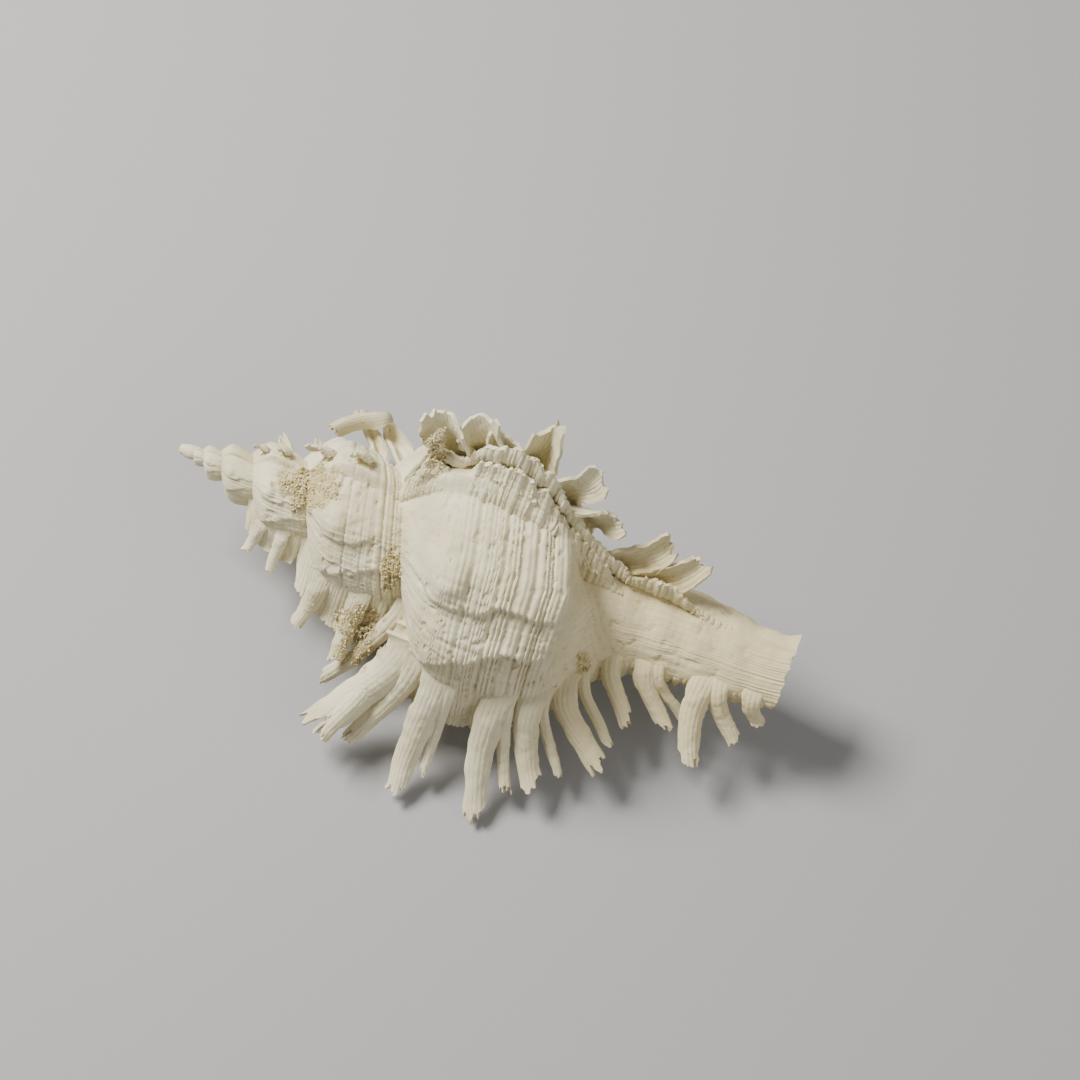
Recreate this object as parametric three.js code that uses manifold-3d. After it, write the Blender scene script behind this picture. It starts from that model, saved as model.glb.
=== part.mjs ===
// A murex shell about 75 mm long, bleached and worn: one grown piece with a spiral body, three rows of
// fronds a third of a turn apart, a hollow mouth on its underside and a long narrow siphonal canal.
// It lies on the tips of its lip fronds and of its hind row, as such a shell does on a table.
import * as THREE from "three";
import { mergeVertices } from "three/addons/utils/BufferGeometryUtils.js";
import Module from "manifold-3d";

// Driving dimensions, in millimetres and degrees. "Along" is the distance from the apex down the coiling
// axis, "out" is the distance from that axis, and "turn" is the angle round it: 0 is the middle of the
// side that shows, plus 90 is its upper edge, and the shell grew towards smaller angles.
const shellLength = 75;
const growthPerTurn = 1.72;
const turnsBelowApex = 3;
const lastSutureAlong = 27.9;
const lastCreaseAlong = lastSutureAlong * growthPerTurn;
const lipCreaseAlong = 48.8;
const girthPerSuture = 0.53;
const lipNarrowing = 0.04;
const lipTurn = -87;
const varixTurn = 33;
const hindTurn = 153;
const varixSpacing = 120;
const mouth = {
  along: 41,
  out: 9.2,
  halfAlong: 7.4,
  halfOut: 5.6,
  depthTurn: 190,
  proud: 8,
  steps: 9,
  sides: 14,
};
const bore = { radius: 1.1, from: 44, sides: 8, past: 1, slitWidth: 1, slitReach: 8, slitTurn: -150 };

// Outline of one whorl from suture (0) to base crease (1): share of the way along, share of the girth
const creaseShare = 0.87;
const whorlOutline = [
  [0, creaseShare / growthPerTurn],
  [0.08, 0.64],
  [0.2, 0.83],
  [0.33, 0.95],
  [0.48, 1],
  [0.65, 0.995],
  [0.8, 0.965],
  [0.92, 0.92],
  [1, creaseShare],
];
// Below the crease the base drops to the canal: distance along and distance out, in shares of the girth
const baseOutline = [
  [0.05, 0.8],
  [0.1, 0.66],
  [0.15, 0.5],
  [0.22, 0.36],
  [0.34, 0.2],
];
const baseStretchAtLip = 2;

// The grid's rows and columns: columns stand close together at the varix and at the two ribs after it
const rowsPerTurn = 9;
const columnsAfterVarix = [116, 109, 97, 85, 81, 70, 60, 54.5, 51, 40, 22, 4, 0];
const ribs = [
  { start: 22, crest: 51, foot: 54.5, height: 0.075 },
  { start: 58, crest: 81, foot: 85, height: 0.055 },
];
const varix = { start: 93, foot: 4, height: 0.15 };

// The siphonal canal, a flattened tube: along, half width up and down, half width front to back, and how
// far its middle leaves the axis upwards and to the front
const canalStations = [
  { along: 24, tall: 3, deep: 3, up: 0, front: 0 },
  { along: 36, tall: 4.4, deep: 4.6, up: 0, front: 0 },
  { along: 46, tall: 5.2, deep: 5, up: 0, front: 0 },
  { along: 52, tall: 5.6, deep: 4.6, up: 0, front: 0.2 },
  { along: 57, tall: 4.9, deep: 3.7, up: 0.2, front: 0.5 },
  { along: 62, tall: 4.6, deep: 3.2, up: 0.5, front: 0.9 },
  { along: 67, tall: 4.5, deep: 2.8, up: 0.5, front: 1.4 },
  { along: 71.5, tall: 4.1, deep: 2.5, up: 0.3, front: 1.9 },
  { along: 73.8, tall: 4.1, deep: 2.5, up: 0.4, front: 2.2 },
  { along: shellLength, tall: 4.3, deep: 2.4, up: 0.6, front: 2.4 },
];
const canalSides = 12;

// The first whorls at the tip are worn smooth
const apexOutline = [
  [0, 0],
  [0.25, 0.75],
  [1, 1.15],
  [1.9, 1.3],
  [2.6, 1.75],
  [3.4, 1.9],
  [4.6, 2.2],
  [5.5, 1.6],
  [6, 0],
];
const apexSides = 10;

// Fronds of the lip row, apex end first. "Root" is where the middle of the foot stands, "tip" the end of
// the ribbon; width is across the ribbon at its root, and fold is how deep its trough is
const lipFronds = [
  { root: [33.5, 13.5], tip: [24.8, 25.6], width: 3.4, end: 0.6, fold: 0.35 },
  { root: [32.5, 12.5], tip: [27.2, 26.4], width: 2.4, end: 0.7, fold: 0.3, lean: 6 },
  { root: [35, 14], tip: [29.8, 25.6], width: 2.4, end: 0.7, fold: 0.3, lean: -4 },
  { root: [31, 11], tip: [24.3, 19.8], width: 1.8, end: 0.7, fold: 0.3, lean: -10 },
  { root: [39.5, 15], tip: [37.4, 29.5], width: 3.3, end: 0.72, fold: 0.3, lean: -3, bow: -0.6 },
  { root: [41, 15], tip: [39.8, 26.1], width: 1.5, end: 0.6, fold: 0.2, lean: -2 },
  { root: [44.8, 15], tip: [48, 29], width: 3, end: 0.9, fold: 0.3, lean: -3, bow: -1.2 },
  { root: [46, 15], tip: [49.9, 24.7], width: 1.4, end: 0.6, fold: 0.2, lean: -2 },
  { root: [48.4, 12.5], tip: [52.8, 23.4], width: 2.8, end: 0.85, fold: 0.3, bow: -0.8 },
  { root: [49.6, 12], tip: [54.9, 20.4], width: 1.3, end: 0.6, fold: 0.2, lean: -2 },
  { root: [51.2, 8.5], tip: [59.7, 18.3], width: 2.7, end: 0.85, fold: 0.3, bow: -1 },
  { root: [52.6, 7.5], tip: [59.2, 15.1], width: 1.3, end: 0.6, fold: 0.2, lean: -2 },
  { root: [55.3, 4.5], tip: [60.5, 12.1], width: 2, end: 0.8, fold: 0.3, bow: -0.4 },
  { root: [59.2, 4], tip: [64.8, 11], width: 2.2, end: 0.6, fold: 0.3, bow: -0.5 },
  { root: [60.6, 3.6], tip: [65.8, 8.8], width: 1.4, end: 0.8, fold: 0.2, lean: -8 },
  { root: [66.4, 3.6], tip: [68.7, 14.1], width: 2.8, end: 0.8, fold: 0.25, bow: -1.4 },
  { root: [67.8, 3.6], tip: [72.4, 9.6], width: 2, end: 0.8, fold: 0.2, lean: -4 },
  { root: [72, 3.2], tip: [74.6, 6.4], width: 2, end: 0.7, fold: 0.2 },
];
// Fronds of the upper row, which stand towards the front and are folded nearly shut
const upperFronds = [
  { root: [30.5, 10.5], tip: [27.3, 21.5], width: 4.4, end: 0.75, fold: 0.55, lean: 6, bow: 0.5 },
  { root: [34.4, 13], tip: [31.4, 22.4], width: 4.6, end: 0.8, fold: 0.5, lean: 8, bow: 0.5 },
  { root: [36.6, 13.5], tip: [34.8, 21.2], width: 3.4, end: 0.8, fold: 0.4, lean: 10 },
  { root: [38.4, 13.5], tip: [39.9, 24.2], width: 4.2, end: 0.5, fold: 0.6, lean: 14, bow: 0.9 },
  { root: [42.2, 12.5], tip: [47, 19.8], width: 4.2, end: 0.55, fold: 0.6, lean: 14, bow: 0.8 },
  { root: [45, 10.5], tip: [50.8, 15], width: 3.8, end: 0.55, fold: 0.6, lean: 8, bow: 0.7 },
  { root: [51, 4.4], tip: [57.5, 13.6], width: 3.8, end: 0.6, fold: 0.6, lean: 16, bow: 0.9 },
  { root: [55.8, 3.8], tip: [61.4, 12.6], width: 3.4, end: 0.6, fold: 0.6, lean: 16, bow: 0.8 },
];
// The hind row is the lip row as it was two thirds of a turn earlier, at that size
const hindScale = growthPerTurn ** (-240 / 360);
// Two spines are left on each older varix of the spire, in sizes of a lip row there
const spireSpines = [
  { roots: [[36.5, 14.5], [44.5, 15]], tips: [[34, 26], [44, 30.2]], lean: 0, webbed: true },
  { roots: [[34.5, 12.5], [43, 15]], tips: [[26, 25.4], [39.3, 29.9]], lean: 3, webbed: false },
  { roots: [[34, 12], [41, 15]], tips: [[24, 23.5], [35, 27.5]], lean: -14, webbed: false },
];
const firstSpireRow = 3;
const lastSpireRow = 7;
// Flanges between the fronds, as thin plates: along and out at their notches, and at their ends
const lipFlange = [
  [30.6, 8.5],
  [32.2, 15.6],
  [34.3, 17.9],
  [36.8, 18.8],
  [42, 18.8],
  [44.5, 18.4],
  [47.9, 16.3],
  [51.5, 12.5],
  [54.4, 8.4],
  [57.7, 6.3],
  [64.1, 5.3],
  [70.7, 4.9],
  [73.6, 4.2],
];
const upperFlange = [
  [26.3, 9.5],
  [28, 17],
  [31.8, 16],
  [33.6, 20],
  [37.6, 21],
  [41.8, 19],
  [45.2, 14.4],
  [50.9, 9.5],
  [54.2, 7.6],
  [58.5, 8.6],
  [63, 6],
];
const spireFlange = [
  [29, 8],
  [31.5, 18],
  [38, 22],
  [45, 24],
  [50, 24],
  [53, 14],
];
const flangeThickness = 1.1;
const flangeRoot = 0.36;
const flangeSetBack = 0.13;
const frondSetBack = 0.37;

// How it lies: the turn that faces up and how far the apex end is raised, and how much is worn flat off
// the tips that it lies on
const frondForm = { leanHalfway: 0.35, taperPower: 1.5, thinnest: 0.7, thickShare: 0.45, innerShare: 0.82 };
const slenderFrond = 1.9;

// Mounds of caked sand on the spire, in a suture, on the old lip and in the first trough of the upper row
const mounds = [
  { along: 16, out: 4.2, turn: 17, half: [2.6, 1.3, 2.2] },
  { along: 28.2, out: 7, turn: -38, half: [1.2, 1.3, 2] },
  { along: 27.3, out: 11.6, turn: -81, half: [2.4, 2.2, 1] },
  { along: 28.1, out: 18.4, turn: 37, half: [1.2, 2.2, 1] },
];
const moundSides = 8;
const moundLevels = [-0.97, -0.6, 0, 0.6, 0.97];

const lying = { upTurn: 23.45, apexRaised: 3, wear: 0.45 };

const degree = Math.PI / 180;
const shellAxis = new THREE.Vector3(1, 0, 0);
const wasm = await Module();
wasm.setup();

// A point from its distance along the axis, its distance out and its turn
function place(along, out, turn) {
  return new THREE.Vector3(along, out * Math.sin(turn * degree), out * Math.cos(turn * degree));
}

// Value of an outline of [position, value] points at a position, on straight lines between them
function onOutline(points, position) {
  const last = points.length - 1;
  if (position <= points[0][0]) return points[0][1];
  if (position >= points[last][0]) return points[last][1];
  const next = points.findIndex((point) => point[0] > position);
  const [x0, y0] = points[next - 1];
  const [x1, y1] = points[next];
  return y0 + ((y1 - y0) * (position - x0)) / (x1 - x0);
}

function sutureAlong(turn) {
  return lastSutureAlong * growthPerTurn ** (-turn / 360);
}

function creaseAlong(turn) {
  if (turn >= 0) return lastCreaseAlong * growthPerTurn ** (-turn / 360);
  return lastCreaseAlong + ((lipCreaseAlong - lastCreaseAlong) * turn) / lipTurn;
}

// The last quarter turn grows a little less than the turns before it
function lipEffect(turn, share) {
  return turn < 0 ? 1 - (lipNarrowing * share * turn) / lipTurn : 1;
}

// How far the varices and ribs stand out at a turn, as a share of the girth
const ribRisePower = 1.3;
const shoulderPower = 0.5;

function ribHeight(turn, share) {
  const after = (((varixTurn - turn) % varixSpacing) + varixSpacing) % varixSpacing;
  const atLip = turn === lipTurn;
  const shoulder = Math.max(0, Math.sin(Math.PI * share)) ** shoulderPower;
  let height = 0;
  if (atLip || after >= varix.start) {
    const rise = atLip ? 1 : (after - varix.start) / (varixSpacing - varix.start);
    height = varix.height * rise ** 2;
  } else if (after < varix.foot) {
    height = varix.height * (1 - after / varix.foot);
  }
  for (const { crest, foot, start, height: most } of ribs) {
    if (after > start && after <= crest) height = most * ((after - start) / (crest - start)) ** ribRisePower;
    if (after > crest && after < foot) height = (most * (foot - after)) / (foot - crest);
  }
  return height * shoulder;
}

// Outer surface of the whorls. "Coil" counts turns down from the last suture: below 0 is the spire,
// 0 to 1 the body whorl.
function whorlPoint(coil, turn) {
  const whorl = coil >= 0 ? 0 : Math.floor(coil);
  const share = coil - whorl;
  const top = sutureAlong(turn - 360 * whorl);
  const low = whorl === 0 ? creaseAlong(turn) : sutureAlong(turn - 360 * (whorl + 1));
  const along = top * (low / top) ** share;
  const girth = girthPerSuture * top * (whorl === 0 ? lipEffect(turn, share) : 1);
  const out = girth * (onOutline(whorlOutline, share) + ribHeight(turn, share));
  return place(along, out, turn);
}

function basePoint(step, turn) {
  const girth = girthPerSuture * sutureAlong(turn) * lipEffect(turn, 1);
  const stretch = turn < 0 ? 1 + ((baseStretchAtLip - 1) * turn) / lipTurn : 1;
  const [down, share] = baseOutline[step];
  return place(creaseAlong(turn) + down * girth * stretch, girth * share, turn);
}

// A mesh from a list of points and faces
function meshOf(points, faces) {
  const geometry = new THREE.BufferGeometry();
  const positions = points.flatMap((point) => point.toArray());
  geometry.setAttribute("position", new THREE.Float32BufferAttribute(positions, 3));
  geometry.setIndex(faces.flat());
  return geometry;
}

// A manifold solid from a geometry
function solidOf(geometry) {
  const bare = geometry.clone();
  bare.deleteAttribute("normal");
  bare.deleteAttribute("uv");
  const merged = mergeVertices(bare, 1e-4);
  const corner = merged.index.array;
  const triVerts = [];
  for (let i = 0; i < corner.length; i += 3) {
    const [a, b, c] = [corner[i], corner[i + 1], corner[i + 2]];
    if (a !== b && b !== c && c !== a) triVerts.push(a, b, c);
  }
  const vertProperties = new Float32Array(merged.attributes.position.array);
  const mesh = new wasm.Mesh({ numProp: 3, vertProperties, triVerts: new Uint32Array(triVerts) });
  return new wasm.Manifold(mesh);
}

// Spire and body whorl as one solid: a grid of columns wound round the axis, whose first and last column
// stand in the plane of the mouth's lip, where flat faces close what the coil leaves open
function coiledBody() {
  const columns = [lipTurn];
  for (let turn = lipTurn; turn < lipTurn + 360; turn += varixSpacing) {
    columns.push(...columnsAfterVarix.map((after) => turn + varixSpacing - after));
  }
  const points = [];
  const grid = columns.map((turn) => {
    const column = [];
    for (let row = -turnsBelowApex * rowsPerTurn; row <= rowsPerTurn; row += 1) {
      column.push(points.push(whorlPoint(row / rowsPerTurn, turn)) - 1);
    }
    baseOutline.forEach((_, step) => column.push(points.push(basePoint(step, turn)) - 1));
    return column;
  });
  const first = points.push(place(lastSutureAlong * growthPerTurn ** (-turnsBelowApex - 1), 0, 0)) - 1;
  const last = points.push(place(lipCreaseAlong + mouth.out, 0, 0)) - 1;
  const faces = [];
  for (let c = 0; c < grid.length - 1; c += 1) {
    const [here, next] = [grid[c], grid[c + 1]];
    faces.push([first, here[0], next[0]]);
    for (let r = 0; r < here.length - 1; r += 1) {
      faces.push([here[r], next[r + 1], next[r]], [here[r], here[r + 1], next[r + 1]]);
    }
    faces.push([last, next.at(-1), here.at(-1)]);
  }
  const lip = grid[0];
  const behind = grid.at(-1);
  const bodyRow = turnsBelowApex * rowsPerTurn;
  const spireWall = [...behind.slice(0, rowsPerTurn + 1), first];
  const mouthWall = [...behind.slice(bodyRow + rowsPerTurn), last, ...lip.slice(bodyRow).reverse()];
  for (const wall of [spireWall, mouthWall]) {
    const flat = wall.map((i) => new THREE.Vector2(points[i].x, Math.hypot(points[i].y, points[i].z)));
    const turned = THREE.ShapeUtils.area(flat) < 0;
    for (const [a, b, c] of THREE.ShapeUtils.triangulateShape(flat, [])) {
      faces.push(turned ? [wall[a], wall[c], wall[b]] : [wall[a], wall[b], wall[c]]);
    }
  }
  return meshOf(points, faces);
}

// A closed tube through rings of points, each ring with as many points and in the same order
function loft(rings) {
  const sides = rings[0].length;
  const points = rings.flat();
  const faces = [];
  for (let k = 0; k < rings.length - 1; k += 1) {
    for (let i = 0; i < sides; i += 1) {
      const [a, b] = [k * sides + i, k * sides + ((i + 1) % sides)];
      faces.push([a, b, b + sides], [a, b + sides, a + sides]);
    }
  }
  for (const [ring, start] of [[rings[0], 0], [rings.at(-1), points.length - sides]]) {
    const middle = ring.reduce((sum, point) => sum.add(point), new THREE.Vector3()).divideScalar(sides);
    const centre = points.push(middle) - 1;
    for (let i = 0; i < sides; i += 1) {
      const [a, b] = [start + i, start + ((i + 1) % sides)];
      faces.push(start === 0 ? [centre, b, a] : [centre, a, b]);
    }
  }
  const solid = solidOf(meshOf(points, faces));
  if (solid.volume() > 0) return solid;
  return solidOf(meshOf(points, faces.map(([a, b, c]) => [a, c, b])));
}

function ellipseRing(centre, firstHalf, secondHalf, sides) {
  return Array.from({ length: sides }, (_, i) => {
    const angle = (2 * Math.PI * i) / sides;
    const across = firstHalf.clone().multiplyScalar(Math.cos(angle));
    return across.addScaledVector(secondHalf, Math.sin(angle)).add(centre);
  });
}

function canal() {
  const rings = canalStations.map(({ along, tall, deep, up, front }) => {
    const centre = new THREE.Vector3(along, up, front);
    return ellipseRing(centre, new THREE.Vector3(0, tall, 0), new THREE.Vector3(0, 0, deep), canalSides);
  });
  return loft(rings);
}

function apex() {
  const rings = apexOutline.slice(1, -1).map(([along, out]) => {
    return Array.from({ length: apexSides }, (_, i) => place(along, out, (360 * i) / apexSides));
  });
  return loft(rings);
}

// The mouth's hollow: an oval swept back into the body whorl, smaller as the whorl was smaller there
function mouthHollow() {
  const rings = [];
  for (let k = 0; k <= mouth.steps; k += 1) {
    const turn = lipTurn - mouth.proud + ((mouth.proud + mouth.depthTurn) * k) / mouth.steps;
    const scale = growthPerTurn ** ((lipTurn - turn) / 360);
    const centre = place(mouth.along * scale, mouth.out * scale, turn);
    const halfAlong = shellAxis.clone().multiplyScalar(mouth.halfAlong * scale);
    const halfOut = place(0, mouth.halfOut * scale, turn);
    rings.push(ellipseRing(centre, halfAlong, halfOut, mouth.sides));
  }
  return loft(rings);
}

// The canal's bore and the slit that opens it along the underside
function canalHollow() {
  const rings = canalStations
    .filter(({ along }) => along > bore.from)
    .map(({ along, up, front }) => {
      const past = along === shellLength ? bore.past : 0;
      const centre = new THREE.Vector3(along + past, up, front);
      const across = new THREE.Vector3(0, bore.radius, 0);
      return ellipseRing(centre, across, new THREE.Vector3(0, 0, bore.radius), bore.sides);
    });
  const slitRings = canalStations
    .filter(({ along }) => along > bore.from)
    .map(({ along, up, front }) => {
      const past = along === shellLength ? bore.past : 0;
      const centre = new THREE.Vector3(along + past, up, front);
      const outward = place(0, 1, bore.slitTurn);
      const sideways = place(0, bore.slitWidth / 2, bore.slitTurn + 90);
      const far = centre.clone().addScaledVector(outward, bore.slitReach);
      return [
        centre.clone().sub(sideways),
        centre.clone().add(sideways),
        far.clone().add(sideways),
        far.clone().sub(sideways),
      ];
    });
  return loft(rings).add(loft(slitRings));
}

// A ribbon bent into a trough, from a root to a tip in the half plane of a turn; the trough is open
// towards the side the shell grew to. "Lean" turns the tip back, "bow" bends the ribbon along the shell
function frond({ root, tip, width, end = 0.7, fold = 0.3, lean = 0, bow = 0 }, turn, scale, fine) {
  const start = place(root[0] * scale, root[1] * scale, turn);
  const finish = place(tip[0] * scale, tip[1] * scale, turn + lean);
  const halfway = [(root[0] + tip[0]) / 2 + bow, (root[1] + tip[1]) / 2];
  const middle = place(halfway[0] * scale, halfway[1] * scale, turn + lean * frondForm.leanHalfway);
  const path = new THREE.QuadraticBezierCurve3(start, middle, finish);
  const steps = fine ? 3 : 2;
  const across = [-1, 0, 1];
  const rings = [];
  for (let k = 0; k <= steps; k += 1) {
    const t = k / steps;
    const forward = path.getTangent(t);
    const sideways = shellAxis.clone().addScaledVector(forward, -forward.dot(shellAxis)).normalize();
    const back = forward.clone().cross(sideways);
    const half = (width * scale * THREE.MathUtils.lerp(1, end, t ** frondForm.taperPower)) / 2;
    const depth = 2 * half * fold;
    const thick = Math.max(frondForm.thinnest * scale ** 0.5, half * frondForm.thickShare);
    const innerHalf = half * frondForm.innerShare;
    const outer = across.map((x) => [x * half, depth * (1 - x * x)]);
    const inner = across.map((x) => [x * innerHalf, depth * (1 - x * x) - thick]).reverse();
    rings.push([...outer, ...inner].map(([x, y]) => {
      return path.getPoint(t).addScaledVector(sideways, x).addScaledVector(back, y + frondSetBack);
    }));
  }
  return loft(rings);
}

// A low mound of sand caked on the shell: half sizes along the axis, outwards and round it
function mound({ along, out, turn, half }) {
  const middle = place(along, out, turn);
  const outward = place(0, 1, turn);
  const round = place(0, 1, turn + 90);
  return loft(moundLevels.map((level) => {
    const spread = Math.sqrt(1 - level * level);
    return Array.from({ length: moundSides }, (_, k) => {
      const angle = (2 * Math.PI * k) / moundSides;
      return middle
        .clone()
        .addScaledVector(shellAxis, half[0] * spread * Math.cos(angle))
        .addScaledVector(round, half[2] * spread * Math.sin(angle))
        .addScaledVector(outward, half[1] * level);
    });
  }));
}

// The thin flange that joins the feet of a row of fronds
function flange(outline, turn, scale, lean = 0) {
  const outer = outline.map(([along, out]) => [along * scale, out * scale, lean]);
  const inner = outline.map(([along, out]) => [along * scale, out * scale * flangeRoot, 0]).reverse();
  const thick = flangeThickness * scale ** 0.5;
  const rings = [0, 1].map((side) => {
    return [...outer, ...inner].map(([along, out, back]) => {
      return place(along, out, turn + back).add(place(0, flangeSetBack + side * thick, turn + 90));
    });
  });
  const sides = rings[0].length;
  const points = rings.flat();
  const flat = rings[0].map((point) => new THREE.Vector2(point.x, Math.hypot(point.y, point.z)));
  const faces = [];
  const caps = THREE.ShapeUtils.triangulateShape(flat, []);
  const turned = THREE.ShapeUtils.area(flat) < 0;
  for (const [a, b, c] of caps) {
    const [first, second] = turned ? [b, c] : [c, b];
    faces.push([a, first, second]);
    faces.push([a + sides, second + sides, first + sides]);
  }
  for (let i = 0; i < sides; i += 1) {
    const j = (i + 1) % sides;
    faces.push([i, j, j + sides], [i, j + sides, i + sides]);
  }
  const solid = solidOf(meshOf(points, faces));
  if (solid.volume() > 0) return solid;
  return solidOf(meshOf(points, faces.map(([a, b, c]) => [a, c, b])));
}

let shell = solidOf(coiledBody());
shell = shell.add(apex()).add(canal());
shell = shell.add(flange(lipFlange, lipTurn, 1));
shell = shell.add(flange(upperFlange, varixTurn, 1, 7));
shell = shell.add(flange(lipFlange, hindTurn, hindScale));
shell = shell.subtract(mouthHollow());
shell = shell.subtract(canalHollow());
for (const each of lipFronds) shell = shell.add(frond(each, lipTurn, 1, each.width > slenderFrond));
for (const each of upperFronds) shell = shell.add(frond(each, varixTurn, 1, true));
for (const each of lipFronds.filter(({ width }) => width > slenderFrond)) {
  shell = shell.add(frond(each, hindTurn, hindScale, false));
}
for (let k = firstSpireRow; k <= lastSpireRow; k += 1) {
  const { roots, tips, lean, webbed } = spireSpines[k % 3];
  const turn = lipTurn + varixSpacing * k;
  const scale = growthPerTurn ** ((-varixSpacing * k) / 360);
  if (webbed) shell = shell.add(flange(spireFlange, turn, scale));
  roots.forEach((root, n) => {
    shell = shell.add(frond({ root, tip: tips[n], width: 3.4, end: 0.75, lean }, turn, scale, false));
  });
}
for (const each of mounds) shell = shell.add(mound(each));
// Pockets shut in between overlapping fronds are filled: only the outer skin is kept
shell = shell.decompose().reduce((most, piece) => (piece.volume() > most.volume() ? piece : most));

// Turns the shell from its own frame to the way it lies, with the apex towards minus X
function layDown(solid) {
  const up = place(-Math.tan(lying.apexRaised * degree), 1, lying.upTurn).normalize();
  const along = shellAxis.clone().addScaledVector(up, -up.dot(shellAxis)).normalize();
  const across = up.clone().cross(along);
  const turned = new THREE.Matrix4().makeBasis(along, across, up).transpose();
  const geometry = geometryOf(solid).applyMatrix4(turned);
  geometry.computeBoundingBox();
  const { min, max } = geometry.boundingBox;
  geometry.translate(-(min.x + max.x) / 2, -(min.y + max.y) / 2, -min.z - lying.wear);
  const ground = new THREE.BoxGeometry(3 * shellLength, 3 * shellLength, shellLength);
  ground.translate(0, 0, -shellLength / 2);
  return solidOf(geometry).subtract(solidOf(ground));
}

function geometryOf(solid) {
  const { vertProperties, triVerts } = solid.getMesh();
  const geometry = new THREE.BufferGeometry();
  geometry.setAttribute("position", new THREE.BufferAttribute(vertProperties, 3));
  geometry.setIndex(new THREE.BufferAttribute(triVerts, 1));
  return geometry;
}

const chalk = new THREE.MeshStandardMaterial({ color: 0xd6cfba, roughness: 0.85, metalness: 0 });
const shellMesh = new THREE.Mesh(geometryOf(layDown(shell)), chalk);
shellMesh.name = "shell";
const group = new THREE.Group();
group.add(shellMesh);

export default group;
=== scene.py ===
# A bleached murex shell with sand caked on it, lying on a pale floor
import bpy, math
import numpy as np
from mathutils import Matrix, Vector


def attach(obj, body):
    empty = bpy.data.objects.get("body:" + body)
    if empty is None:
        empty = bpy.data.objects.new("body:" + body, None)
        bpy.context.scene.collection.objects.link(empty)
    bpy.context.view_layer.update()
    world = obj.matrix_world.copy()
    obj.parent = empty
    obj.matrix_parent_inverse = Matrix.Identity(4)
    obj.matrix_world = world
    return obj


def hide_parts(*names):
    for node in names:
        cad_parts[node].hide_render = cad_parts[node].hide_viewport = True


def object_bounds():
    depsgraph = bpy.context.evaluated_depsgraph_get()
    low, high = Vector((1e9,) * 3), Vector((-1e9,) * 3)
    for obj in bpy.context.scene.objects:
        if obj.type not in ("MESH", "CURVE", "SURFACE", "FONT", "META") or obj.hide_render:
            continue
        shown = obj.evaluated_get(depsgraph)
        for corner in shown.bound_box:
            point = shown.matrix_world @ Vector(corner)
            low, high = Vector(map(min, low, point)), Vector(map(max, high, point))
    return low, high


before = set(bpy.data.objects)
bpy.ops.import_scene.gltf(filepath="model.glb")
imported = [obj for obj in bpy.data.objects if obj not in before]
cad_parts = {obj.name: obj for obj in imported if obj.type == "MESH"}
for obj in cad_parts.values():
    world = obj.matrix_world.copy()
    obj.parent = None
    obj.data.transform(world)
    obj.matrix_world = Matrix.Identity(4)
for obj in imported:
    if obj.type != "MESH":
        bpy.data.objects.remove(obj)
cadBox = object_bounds()
print("frame loaded")

# The shell's own measures, as in the solid: millimetres and degrees. "Along" runs from the apex down the
# coiling axis, "out" is the distance from it, and "turn" goes round it: 0 shows, plus 90 is the upper edge
growth = {
    "perTurn": 1.72, "lastSuture": 27.9, "girth": 0.53, "creaseShare": 0.87,
    "lipTurn": -87.0, "varixTurn": 33.0, "hindTurn": 153.0, "varixSpacing": 120.0,
    "lipCrease": 48.8, "lipNarrowing": 0.04, "baseStretchAtLip": 2.0,
}
lying = {"upTurn": 23.45, "apexRaised": 3.0, "origin": (-37.6904, 5.4709, 14.1180)}
mm = 0.001


def rad(angle):
    return angle * math.pi / 180


def place(along, out, turn):
    # a point of the shell's own frame; works on numbers and on arrays
    t = np.radians(turn)
    return np.stack(np.broadcast_arrays(along, out * np.sin(t), out * np.cos(t)), axis=-1)


def lyingMatrix():
    up = place(-math.tan(rad(lying["apexRaised"])), 1, lying["upTurn"])
    up = up / np.linalg.norm(up)
    along = np.array([1.0, 0, 0]) - up * up[0]
    along = along / np.linalg.norm(along)
    return np.array([along, np.cross(up, along), up])


layDown = lyingMatrix()


def toFrame(points):
    # from the shell's own frame to the frame that it lies in, in metres
    return (points @ layDown.T + np.array(lying["origin"])) * mm


# Curves and noise
def easeCurve(points, position):
    # smooth curve through a few (position, value) points
    xs, ys = np.array(points, float).T
    slopes = np.gradient(ys, xs)
    k = np.clip(np.searchsorted(xs, position) - 1, 0, len(xs) - 2)
    h = xs[k + 1] - xs[k]
    t = np.clip((position - xs[k]) / h, 0, 1)
    a = (1 + 2 * t) * (1 - t) ** 2 * ys[k] + t * (1 - t) ** 2 * h * slopes[k]
    return a + t * t * (3 - 2 * t) * ys[k + 1] + t * t * (t - 1) * h * slopes[k + 1]


def smoothStep(low, high, x):
    t = np.clip((x - low) / (high - low), 0, 1)
    return t * t * (3 - 2 * t)


def lattice(cell, seed):
    # one repeatable value from -1 to 1 for each whole-number cell
    h = cell[..., 0] * 374761393 + cell[..., 1] * 668265263 + cell[..., 2] * 1274126177 + seed * 974711
    h = h & 0x7fffffff
    h = ((h ^ (h >> 13)) * 1103515245) & 0x7fffffff
    return ((h ^ (h >> 16)) & 0xffff) / 32767.5 - 1


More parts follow.
